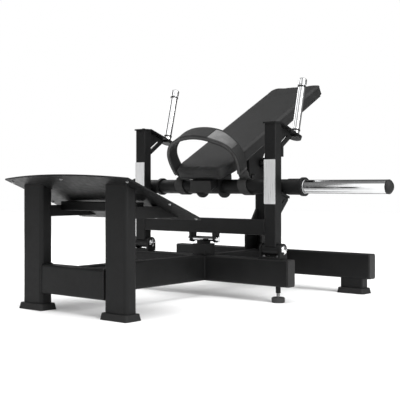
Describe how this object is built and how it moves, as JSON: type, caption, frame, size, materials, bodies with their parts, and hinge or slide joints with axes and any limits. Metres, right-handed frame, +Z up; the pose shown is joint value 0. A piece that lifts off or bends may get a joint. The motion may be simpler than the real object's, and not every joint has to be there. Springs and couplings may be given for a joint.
{
  "type": "hip thrust machine",
  "caption": "Plate-loaded hip thrust machine: footplate, tipping rack with handles, and a hinged back pad lever with a loading bar and a hip belt.",
  "frame": {"origin": "centre of the machine's footprint box, on the floor", "axes": "+X along the weight bar, +Y from the footplate towards the head end of the pad, +Z up"},
  "size_m": [1.5292, 1.4094, 0.8545],
  "materials": {
    "black_powder_coat": "satin black powder coat",
    "chrome": "polished chrome plate",
    "black_rubber": "moulded matt rubber",
    "black_plastic": "moulded matt plastic",
    "brushed_plate": "brushed blank plate",
    "pad_leather": "grained charcoal upholstery",
    "webbing": "woven nylon webbing"
  },
  "bodies": {
    "base": {"front_leg_left": "black_powder_coat", "front_leg_right": "black_powder_coat", "front_foot_left": "black_rubber", "front_foot_right": "black_rubber", "rear_foot_left": "black_rubber", "rear_foot_right": "black_rubber", "front_crossbar": "black_powder_coat", "main_beam": "black_powder_coat", "mid_beam_left": "black_powder_coat", "mid_beam_right": "black_powder_coat", "rear_beam": "black_powder_coat", "mid_beam_cap_left": "black_plastic", "mid_beam_cap_right": "black_plastic", "rear_beam_cap_left": "black_plastic", "rear_beam_cap_right": "black_plastic", "rear_post": "black_powder_coat", "lever_pivot_arm": "black_powder_coat", "lever_pivot_pin": "black_powder_coat", "travel_stop_block": "black_powder_coat", "footplate": "black_powder_coat", "footplate_rail_left": "black_powder_coat", "footplate_rail_right": "black_powder_coat", "footplate_cross_tube": "black_powder_coat", "rack_bracket_left": "black_powder_coat", "rack_bracket_right": "black_powder_coat", "rack_pivot_pin_left": "chrome", "rack_pivot_pin_right": "chrome", "rack_stop_saddle": "black_powder_coat"},
    "rack": {"rack_upright_left": "black_powder_coat", "rack_upright_right": "black_powder_coat", "rack_pivot_tube_left": "black_powder_coat", "rack_pivot_tube_right": "black_powder_coat", "rack_crossbeam": "black_powder_coat", "rack_stop_shaft": "chrome", "handle_plate_left": "black_powder_coat", "handle_plate_right": "black_powder_coat", "handle_grip_left": "chrome", "handle_grip_right": "chrome", "handle_cap_left": "chrome", "handle_cap_right": "chrome", "bar_cradle_left": "black_powder_coat", "bar_cradle_right": "black_powder_coat", "name_plate_left": "brushed_plate", "name_plate_right": "brushed_plate"},
    "lever": {"pad_tube": "black_powder_coat", "pad_tube_cap": "black_plastic", "pad_backing_plate": "black_powder_coat", "back_pad": "pad_leather", "weight_bar": "black_powder_coat", "weight_horn_left": "chrome", "weight_horn_right": "chrome", "horn_cap_left": "black_rubber", "horn_cap_right": "black_rubber", "lever_fork_left": "black_powder_coat", "lever_fork_right": "black_powder_coat"},
    "belt": {"belt_band": "webbing", "belt_loop_left": "webbing", "belt_loop_right": "webbing"},
    "levelling_foot_left": {"levelling_foot_left": "black_rubber"},
    "levelling_foot_right": {"levelling_foot_right": "black_rubber"}
  },
  "joints": [
    {"name": "rack_tip", "type": "hinge", "parent": "base", "child": "rack", "pos_m": [0, 0.04116, 0.188], "axis": [1, 0, 0], "range_deg": [0, 20]},
    {"name": "lever_hinge", "type": "hinge", "parent": "base", "child": "lever", "pos_m": [0, 0.32916, 0.451], "axis": [-1, 0, 0], "range_deg": [0, 24]},
    {"name": "belt_swing", "type": "hinge", "parent": "lever", "child": "belt", "pos_m": [0, 0.09816, 0.414], "axis": [1, 0, 0], "range_deg": [-45, 60]},
    {"name": "levelling_left", "type": "slide", "parent": "base", "child": "levelling_foot_left", "axis": [0, 0, 1], "range_m": [0, 0.012]},
    {"name": "levelling_right", "type": "slide", "parent": "base", "child": "levelling_foot_right", "axis": [0, 0, 1], "range_m": [0, 0.012]}
  ]
}
